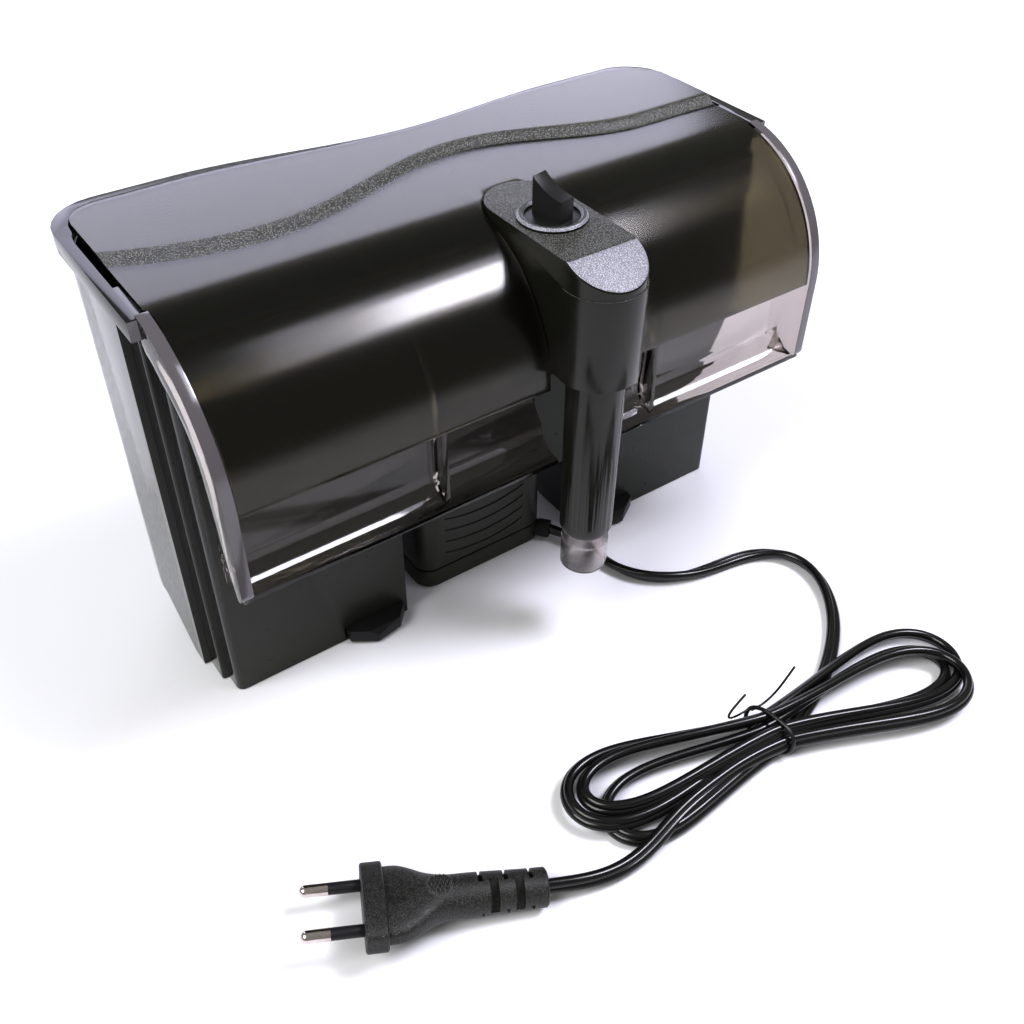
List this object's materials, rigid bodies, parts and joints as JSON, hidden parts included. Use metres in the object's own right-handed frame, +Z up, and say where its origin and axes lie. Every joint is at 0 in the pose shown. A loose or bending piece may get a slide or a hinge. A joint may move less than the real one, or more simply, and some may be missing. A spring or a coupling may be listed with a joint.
{
  "type": "hang on back aquarium filter",
  "caption": "Two-chamber aquarium filter that hooks over a tank rim, with smoked lid, intake elbow with flow knob, pump motor below and a plugged mains cord.",
  "frame": {"origin": "under the middle of the filter's bounding box without its cord, on the surface it stands on", "axes": "+X along the tank wall to the right as seen from the tank, +Y away from the tank, +Z up"},
  "size_m": [0.2675, 0.2461, 0.1762],
  "materials": {
    "case_plastic": "smoked dark grey ABS, satin outside, glossy at the spillway",
    "lid_plastic": "glossy smoked translucent polycarbonate with a textured wave",
    "intake_plastic": "dark grey ABS, fine spark texture on top, glossy sides",
    "knob_plastic": "satin dark grey",
    "clear_plastic": "smoke-grey translucent plastic",
    "motor_plastic": "satin black",
    "foot_plastic": "black",
    "impeller_plastic": "white acetal",
    "black_rubber": "soft black rubber",
    "ferrite": "sintered ferrite magnet",
    "ceramic_shaft": "ground white ceramic",
    "lamination_steel": "stacked silicon steel sheets",
    "bobbin_nylon": "natural nylon",
    "copper_wire": "enamelled copper winding",
    "frame_plastic": "dark blue polypropylene",
    "floss": "white polyester floss",
    "sponge": "open-cell black foam",
    "cord_pvc": "black flexible PVC twin cord",
    "tie_wire": "plastic-covered tie wire",
    "plug_pvc": "moulded black PVC",
    "pin_sleeve": "black insulating sleeve",
    "pin_metal": "nickel plated brass"
  },
  "bodies": {
    "case": {"filter_case": "case_plastic", "intake_elbow": "intake_plastic", "elbow_seal": "black_rubber", "intake_tube": "intake_plastic", "impeller_cover": "intake_plastic", "cover_bush": "black_rubber", "impeller_shaft": "ceramic_shaft", "well_bush": "black_rubber", "motor_housing": "motor_plastic", "motor_cover": "motor_plastic", "motor_seal": "black_rubber", "stator_core": "lamination_steel", "coil_bobbin": "bobbin_nylon", "stator_coils": "copper_wire", "cord_gland": "black_rubber", "left_bio_sponge": "sponge", "right_bio_sponge": "sponge", "cord_lead": "cord_pvc", "cord_hank": "cord_pvc", "cord_tail": "cord_pvc", "cord_tie": "tie_wire", "plug_body": "plug_pvc", "pin_sleeves": "pin_sleeve", "plug_pins": "pin_metal"},
    "lid": {"lid": "lid_plastic"},
    "knob": {"flow_knob": "knob_plastic", "flow_gate": "knob_plastic"},
    "extension": {"extension_tube": "clear_plastic"},
    "rotor": {"impeller": "impeller_plastic", "rotor_magnet": "ferrite"},
    "left_cartridge": {"left_cartridge_frame": "frame_plastic", "left_floss_pad": "floss"},
    "right_cartridge": {"right_cartridge_frame": "frame_plastic", "right_floss_pad": "floss"},
    "left_foot": {"left_leveller": "foot_plastic"},
    "right_foot": {"right_leveller": "foot_plastic"}
  },
  "joints": [
    {"name": "lid_lift", "type": "slide", "parent": "case", "child": "lid", "axis": [0, 0, 1], "range_m": [0, 0.06]},
    {"name": "knob_turn", "type": "hinge", "parent": "case", "child": "knob", "pos_m": [0.01, -0.02845, 0.162], "axis": [0, 0, 1], "range_deg": [0, 90]},
    {"name": "extension_slide", "type": "slide", "parent": "case", "child": "extension", "axis": [0, 0, -1], "range_m": [0, 0.02]},
    {"name": "impeller_spin", "type": "hinge", "parent": "case", "child": "rotor", "pos_m": [0.01, 0.01225, 0.045], "axis": [0, 0, 1], "continuous": true},
    {"name": "left_cartridge_lift", "type": "slide", "parent": "case", "child": "left_cartridge", "axis": [0, 0, 1], "range_m": [0, 0.015]},
    {"name": "right_cartridge_lift", "type": "slide", "parent": "case", "child": "right_cartridge", "axis": [0, 0, 1], "range_m": [0, 0.015]},
    {"name": "left_leveller_slide", "type": "slide", "parent": "case", "child": "left_foot", "axis": [0, -1, 0], "range_m": [-0.005, 0.01]},
    {"name": "right_leveller_slide", "type": "slide", "parent": "case", "child": "right_foot", "axis": [0, -1, 0], "range_m": [-0.005, 0.01]}
  ]
}
